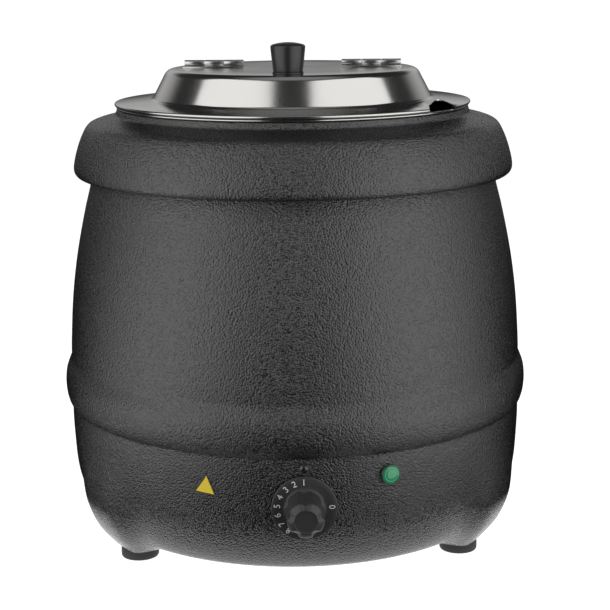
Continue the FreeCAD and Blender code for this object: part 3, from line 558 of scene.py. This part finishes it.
def cutLadleNotch(bm):
    # a splayed slot with rounded corners, taken out with a boolean cutter
    cutter = bmesh.new()
    outline = roundedLine(ladleNotch["outline"], [ladleNotch["corner"]] * 2, 6)
    base = [cutter.verts.new((x * mm, y * mm, ladleNotch["from"] * mm)) for x, y in outline]
    raised = bmesh.ops.extrude_face_region(cutter, geom=[cutter.faces.new(base)])["geom"]
    topPoints = [v for v in raised if isinstance(v, bmesh.types.BMVert)]
    bmesh.ops.translate(cutter, vec=(0, 0, ladleNotch["depth"] * mm), verts=topPoints)
    bmesh.ops.recalc_face_normals(cutter, faces=cutter.faces)
    solids = []
    for name, source in (("lidBlank", bm), ("notchCutter", cutter)):
        mesh = bpy.data.meshes.new(name)
        source.to_mesh(mesh)
        source.free()
        solids.append(bpy.data.objects.new(name, mesh))
        bpy.context.scene.collection.objects.link(solids[-1])
    blank, tool = solids
    notch = blank.modifiers.new("notch", "BOOLEAN")
    notch.operation = "DIFFERENCE"
    notch.solver = "EXACT"
    notch.object = tool
    result = bmesh.new()
    result.from_object(blank, bpy.context.evaluated_depsgraph_get())
    for solid in solids:
        bpy.data.objects.remove(solid)
    crown = Vector(ladleNotch["crown"])
    for v in result.verts:
        away = (v.co.xy / mm - crown).length / ladleNotch["reach"]
        inward = ease((v.co.xy.length / mm - lid["baseRadius"]) / ladleNotch["fade"])
        v.co.z += ladleNotch["lift"] * mm * (1 - ease(away)) * inward
    return result


def makeLid():
    rear = halfLid(1)
    front = cutLadleNotch(halfLid(-1))
    for bm, name, body, node in ((rear, "lidRearHalf", "lid_back", "lid_rear"),
                                 (front, "lidFrontHalf", "lid_flap", "lid_front")):
        bmesh.ops.rotate(bm, verts=bm.verts, cent=(0, 0, 0), matrix=aroundZ(lid["turn"]))
        finishPiece(bm, name, body, [stainless], [node], angle=30)


makeLid()
print("lid halves made")


# ---- lid hinges

hinge = {"x": 57.0, "length": 43.0, "knuckleRadius": 2.4, "axisZ": 345.6, "gap": 0.3, "leafReach": 13.0,
         "leafThick": 0.8, "leafClear": 3.0, "leafLift": 0.02, "leafBevel": 0.15, "tabLift": 0.35,
         "tabBevel": 0.1, "endBevel": 0.25, "around": 40}


def edgesOf(bm, verts):
    own = set(verts)
    return [e for e in bm.edges if e.verts[0] in own]


def knuckle(bm, left, right):
    # a round barrel along X with its end edges eased
    radius = hinge["knuckleRadius"] * mm
    made = bmesh.ops.create_cone(bm, cap_ends=True, segments=hinge["around"], radius1=radius, radius2=radius,
                                 depth=(right - left) * mm)["verts"]
    bmesh.ops.rotate(bm, verts=made, cent=(0, 0, 0), matrix=Matrix.Rotation(math.pi / 2, 3, "Y"))
    middle = ((left + right) / 2 * mm, lid["splitY"] * mm, hinge["axisZ"] * mm)
    bmesh.ops.translate(bm, verts=made, vec=middle)
    edges = edgesOf(bm, made)
    ends = [e for e in edges if abs(e.verts[0].co.x - e.verts[1].co.x) < 0.0001 * mm]
    bmesh.ops.bevel(bm, geom=ends, offset=hinge["endBevel"] * mm, segments=2, profile=0.5, material=-1,
                    affect="EDGES")


def plate(bm, low, high, bevel):
    # a flat bar between two opposite corners, in millimetres, with all its edges eased
    made = bmesh.ops.create_cube(bm, size=1.0)["verts"]
    size = [(b - a) * mm for a, b in zip(low, high)]
    middle = [(a + b) / 2 * mm for a, b in zip(low, high)]
    bmesh.ops.scale(bm, vec=size, verts=made)
    bmesh.ops.translate(bm, vec=middle, verts=made)
    bmesh.ops.bevel(bm, geom=edgesOf(bm, made), offset=bevel * mm, segments=2, profile=0.5, material=-1,
                    affect="EDGES")


def makeLeaf(left, side, spans):
    # one leaf and its knuckles; side is 1 behind the split and -1 in front of it
    bm = bmesh.new()
    split, lidTop = lid["splitY"], lid["top"]
    near, far = sorted((split + side * hinge["leafClear"], split + side * hinge["leafReach"]))
    top = lidTop + hinge["leafThick"]
    right = left + hinge["length"]
    plate(bm, (left, near, lidTop + hinge["leafLift"]), (right, far, top), hinge["leafBevel"])
    for a, b in spans:
        knuckle(bm, a, b)
        tab = sorted((split, split + side * (hinge["leafClear"] + 1)))
        plate(bm, (a, tab[0], lidTop + hinge["tabLift"]), (b, tab[1], top), hinge["tabBevel"])
    bmesh.ops.rotate(bm, verts=bm.verts, cent=(0, 0, 0), matrix=aroundZ(lid["turn"]))
    return bm


def makeHinges():
    third = hinge["length"] / 3
    for word, centre in (("left", -hinge["x"]), ("right", hinge["x"])):
        left = centre - hinge["length"] / 2
        spans = [(left + third * i + hinge["gap"] / 2, left + third * (i + 1) - hinge["gap"] / 2)
                 for i in range(3)]
        for side, part, body, own in ((1, "rear", "lid_back", spans[::2]),
                                      (-1, "front", "lid_flap", spans[1::2])):
            finishPiece(makeLeaf(left, side, own), "hingeLeaf_" + part + "_" + word, body, [hingeSteel],
                        ["hinge_" + part + "_leaf_" + word], angle=30)
        nodes["hinge_pin_" + word].data.materials.clear()
        nodes["hinge_pin_" + word].data.materials.append(hingeSteel)


makeHinges()
print("hinges made")


# ---- lid knob

knob = {"y": -68.0, "steps": 96, "points": 3}
knobOutline = [(0, 344.2), (9.6, 344.2), (10.0, 344.5), (10.15, 345.2), (10.7, 350.0), (11.25, 355.0),
               (11.7, 360.0), (11.72, 361.2), (11.2, 362.0), (9.8, 362.6), (7.0, 363.25), (3.5, 363.75),
               (0, 363.9)]
collarOutline = [(2.8, 343.0), (10.4, 343.0), (10.6, 343.2), (10.6, 344.0), (10.4, 344.2), (2.8, 344.2),
                 (2.8, 343.0)]


def makeKnob():
    for outline, name, node in ((smoothLine(knobOutline, knob["points"]), "lidKnob", "lid_knob"),
                                (collarOutline, "knobCollar", "knob_collar")):
        bm = spunMesh(outline, knob["steps"])
        bmesh.ops.translate(bm, verts=bm.verts, vec=(0, knob["y"] * mm, 0))
        bmesh.ops.rotate(bm, verts=bm.verts, cent=(0, 0, 0), matrix=aroundZ(lid["turn"]))
        finishPiece(bm, name, "lid_flap", [phenolic], [node], angle=40)


makeKnob()
print("lid knob made")


# ---- control dial

# back, skirtFront and front are distances from the kettle's axis; angles are anticlockwise from the right
dial = {"z": 70.0, "back": 166.2, "skirtFront": 168.4, "front": 193.2, "skirtRadius": 21.7, "faceRadius": 7.6,
        "faceDepth": 0.5, "segments": 240, "flutes": 5, "fluteDepth": 1.7, "fluteWidth": 44.0,
        "fluteFade": 3.0, "fluteRise": 2.0, "numberHeight": 4.1, "capShare": 0.69, "numberRadius": 17.8,
        "numberStep": 20.5, "firstNumber": 91.0, "zeroAngle": 3.0, "inkDepth": 0.04, "inkLift": 0.03}


def alongDial(bm):
    # shapes are made round Z, with Z counting outwards from the kettle's axis, and then laid along -Y
    bmesh.ops.rotate(bm, verts=bm.verts, cent=(0, 0, 0), matrix=Matrix.Rotation(math.pi / 2, 3, "X"))
    bmesh.ops.translate(bm, verts=bm.verts, vec=(0, 0, dial["z"] * mm))


def makeDial():
    back, skirt, wide, front = dial["back"], dial["skirtFront"], dial["skirtRadius"], dial["front"]
    face = front - dial["faceDepth"]
    outline = [(0, back), (wide - 0.3, back), (wide, back + 0.3), (wide, skirt - 0.5),
               (wide - 0.2, skirt - 0.15), (wide - 0.6, skirt), (18.0, skirt), (15.0, skirt),
               (13.6, skirt + 0.05), (12.9, skirt + 0.5)]
    grip = [(12.7, skirt + 1.4), (12.6, 172.0), (12.5, 176.0), (12.4, 180.0), (12.3, 184.0), (12.25, 187.0),
            (12.2, 188.8), (12.0, 189.8), (11.6, 190.4), (10.4, 191.4), (9.0, 192.5), (8.1, 193.05),
            (7.7, front), (7.4, front - 0.1), (7.2, front - 0.4), (6.0, face), (0, face)]
    bm = spunMesh(outline + grip, dial["segments"])
    pitch = 360 / dial["flutes"]
    for v in bm.verts:
        radius = math.hypot(v.co.x, v.co.y) / mm
        height = v.co.z / mm
        if height < skirt + 0.3 or radius < dial["faceRadius"] + 0.1:
            continue
        azimuth = math.degrees(math.atan2(v.co.y, v.co.x)) - 90
        off = abs((azimuth + pitch / 2) % pitch - pitch / 2)
        dip = 1 - ease(off / (dial["fluteWidth"] / 2))
        reach = min(1.0, (radius - dial["faceRadius"]) / dial["fluteFade"])
        reach *= min(1.0, (height - skirt) / dial["fluteRise"])
        shrink = 1 - dial["fluteDepth"] * dip * reach / radius
        v.co.x *= shrink
        v.co.y *= shrink
    alongDial(bm)
    finishPiece(bm, "controlDial", "dial", [mattPhenolic], ["control_dial"], angle=50)


def makeDialNumbers():
    # each number stands outwards on the skirt, so it reads upright when it comes to the top
    bm = bmesh.new()
    angles = [(str(n), dial["firstNumber"] + dial["numberStep"] * (n - 1)) for n in range(1, 9)]
    for text, angle in angles + [("0", dial["zeroAngle"])]:
        curve = bpy.data.curves.new("number", "FONT")
        curve.body = text
        curve.size = dial["numberHeight"] / dial["capShare"] * mm
        curve.align_x = "CENTER"
        curve.align_y = "CENTER"
        curve.extrude = dial["inkDepth"] * mm
        written = bpy.data.objects.new("number", curve)
        bpy.context.scene.collection.objects.link(written)
        drawn = written.evaluated_get(bpy.context.evaluated_depsgraph_get())
        mesh = bpy.data.meshes.new_from_object(drawn)
        upright = Matrix.Rotation(math.pi / 2, 4, "X")
        turn = Matrix.Rotation(math.radians(angle - 90), 4, Vector((0, -1, 0)))
        middle = Matrix.Translation((0, -(dial["skirtFront"] + dial["inkLift"]) * mm, dial["z"] * mm))
        mesh.transform(middle @ turn @ Matrix.Translation((0, 0, dial["numberRadius"] * mm)) @ upright)
        bm.from_mesh(mesh)
        bpy.data.objects.remove(written)
        bpy.data.meshes.remove(mesh)
    bmesh.ops.remove_doubles(bm, verts=bm.verts, dist=0.001 * mm)
    finishPiece(bm, "dialNumbers", "dial", [dialInk], smooth=False)


makeDial()
makeDialNumbers()
print("control dial made")


# ---- indicator lamp

lamp = {"azimuth": 20.0, "z": 88.2, "seat": 165.7, "radius": 6.9, "steps": 72}


def atLamp(bm):
    bmesh.ops.rotate(bm, verts=bm.verts, cent=(0, 0, 0), matrix=Matrix.Rotation(math.pi / 2, 3, "X"))
    bmesh.ops.translate(bm, verts=bm.verts, vec=(0, -lamp["seat"] * mm, lamp["z"] * mm))
    bmesh.ops.rotate(bm, verts=bm.verts, cent=(0, 0, 0), matrix=aroundZ(lamp["azimuth"]))


def makeLamp():
    wide = lamp["radius"]
    bezel = [(0, 0.1), (wide, 0.1), (wide, 0.3), (wide, 1.6), (wide - 0.25, 2.1), (wide - 0.8, 2.35),
             (wide - 1.3, 2.3)]
    face = [(wide - 1.2, 2.0), (wide - 1.45, 2.25), (4.6, 2.55), (4.2, 2.6), (4.0, 2.48), (3.8, 2.65),
            (2.6, 2.85), (1.3, 2.97), (0.6, 3.0), (0, 3.0)]
    # the bezel wears the lens green darkened with painted shade, standing in for its edge-on shading
    for outline, name, material, replaced in ((bezel + face[:1], "lampBezel", lensEdgePaintedShade, ["indicator_lens"]),
                                              (face, "lampLens", lensGreen, [])):
        bm = spunMesh(outline, lamp["steps"])
        atLamp(bm)
        finishPiece(bm, name, "base", [material], replaced, angle=60)


makeLamp()
print("lamp made")


# ---- caution triangle

caution = {"azimuth": -22.9, "z": 80.8, "side": 16.4, "tilt": -6.0, "border": 1.15, "corner": 1.4,
           "cornerSteps": 4, "rise": 0.18, "film": 0.12}


def wallRadius(z):
    # outer radius of the plain barrel wall at a height, in millimetres
    for (r0, z0), (r1, z1) in zip(barrelLower, barrelLower[1:]):
        if z1 <= z <= z0 and z0 > z1:
            return r0 + (r1 - r0) * (z0 - z) / (z0 - z1)
    return barrelLower[0][0]


def makeCaution():
    # a plain printed triangle with a dark border, laid on the curved wall
    bm = bmesh.new()
    outer = caution["side"] / math.sqrt(3) * mm
    made = bmesh.ops.create_circle(bm, cap_ends=True, segments=3, radius=outer)
    bmesh.ops.bevel(bm, geom=made["verts"], offset=caution["corner"] * mm, segments=caution["cornerSteps"],
                    profile=0.5, material=-1, affect="VERTICES")
    bmesh.ops.inset_region(bm, faces=list(bm.faces), thickness=caution["border"] * mm, use_boundary=True,
                           use_even_offset=True)
    # the border is all four-sided faces and the middle is one face with more sides
    for face in bm.faces:
        face.material_index = int(len(face.verts) > 4)
    bmesh.ops.triangulate(bm, faces=bm.faces)
    bmesh.ops.subdivide_edges(bm, edges=bm.edges, cuts=1, use_grid_fill=True)
    bmesh.ops.rotate(bm, verts=bm.verts, cent=(0, 0, 0),
                     matrix=Matrix.Rotation(math.radians(caution["tilt"]), 3, "Z"))
    for v in bm.verts:
        z = caution["z"] + v.co.y / mm
        radius = (wallRadius(z) + caution["rise"]) * mm
        azimuth = v.co.x / radius
        v.co = Vector((radius * math.sin(azimuth), -radius * math.cos(azimuth), z * mm))
    bmesh.ops.rotate(bm, verts=bm.verts, cent=(0, 0, 0), matrix=aroundZ(caution["azimuth"]))
    label = finishPiece(bm, "cautionTriangle", "base", [blackFilm, yellowFilm], ["caution_label"])
    addWall(label, caution["film"])


makeCaution()
print("caution triangle made")


# ---- feet and cable gland

foot = {"radius": 13.5, "height": 8.7, "recess": 5.2, "recessDepth": 5.5, "steps": 72}
gland = {"z": 62.0, "start": 170.4, "end": 190.0, "radius": 10.8, "ribs": 18, "pointsPerRib": 12,
         "ribDepth": 0.7, "ribEnd": 14.8}


def makeFeet():
    # rubber pads, hollowed underneath where the screw head sits
    wide, high, hole, deep = foot["radius"], foot["height"], foot["recess"], foot["recessDepth"]
    outline = [(0, deep), (hole, deep), (hole, 0.5), (hole + 0.4, 0.0), (9.0, 0.0), (wide - 1.5, 0.0),
               (wide - 0.5, 0.35), (wide - 0.05, 1.2), (wide, 3.0), (wide - 0.05, 5.5),
               (wide - 0.2, high - 1.1), (wide - 0.5, high - 0.3), (wide - 1.1, high), (9.0, high), (0, high)]
    for name, angle in zip(("front_right", "rear", "front_left"), barrel["footAngles"]):
        bm = spunMesh(outline, foot["steps"])
        bmesh.ops.translate(bm, verts=bm.verts, vec=(barrel["footCircle"] * mm, 0, 0))
        bmesh.ops.rotate(bm, verts=bm.verts, cent=(0, 0, 0), matrix=aroundZ(angle))
        finishPiece(bm, "foot_" + name + "_rubber", "base", [rubber], ["foot_" + name],
                    angle=40)


def makeGland():
    # ribbed dome nut, open at its mouth where the seal shows
    start, end, wide = gland["start"], gland["end"], gland["radius"]
    outline = [(8.1, start), (wide - 0.3, start), (wide, start + 0.3), (wide, start + 4), (wide, start + 8),
               (wide, start + 12.5), (wide - 0.5, start + 14.5), (wide - 1.9, end - 2.6),
               (wide - 3.4, end - 0.9), (wide - 4.4, end - 0.1), (5.9, end), (5.5, end - 0.4),
               (5.4, end - 2.0), (5.4, end - 5.6), (8.05, end - 5.8), (8.1, start)]
    bm = spunMesh(outline, gland["ribs"] * gland["pointsPerRib"])
    for v in bm.verts:
        radius = math.hypot(v.co.x, v.co.y) / mm
        if radius < wide - 0.6 or v.co.z / mm > start + gland["ribEnd"]:
            continue
        turn = math.atan2(v.co.y, v.co.x) * gland["ribs"]
        shrink = 1 - gland["ribDepth"] * max(0.0, math.cos(turn)) ** 0.5 / radius
        v.co.x *= shrink
        v.co.y *= shrink
    bmesh.ops.rotate(bm, verts=bm.verts, cent=(0, 0, 0), matrix=Matrix.Rotation(-math.pi / 2, 3, "X"))
    bmesh.ops.translate(bm, verts=bm.verts, vec=(0, 0, gland["z"] * mm))
    finishPiece(bm, "glandDomeNut", "base", [nylon], ["gland_dome_nut"], angle=40)


makeFeet()
makeGland()
print("feet and gland made")


# ---- finishes on the parts that come straight from the frame

zincNodes = ["well_stud", "element_clamp", "clamp_nut", "bulb_clip", "thermal_cutout", "thermostat_bracket",
             "thermostat_screws", "thermostat_shaft", "indicator_clip", "terminal_screws", "earth_stud",
             "earth_nut", "base_screws", "foot_screws", "foot_nuts", "knob_washer", "knob_screw"]
finishes = [(silicone, ["well_gasket"]), (aluminium, ["water_well", "base_cover"]), (zinc, zincNodes),
            (sheath, ["element_ring"]), (copper, ["sensor_bulb", "capillary_tube"]),
            (nylon, ["thermostat_body", "indicator_body", "gland_body", "gland_locknut"]),
            (rubber, ["gland_seal"]), (whiteNylon, ["terminal_block"])]
for material, names in finishes:
    for name in names:
        nodes[name].data.materials.clear()
        nodes[name].data.materials.append(material)
print("finishes set on the frame's own parts")
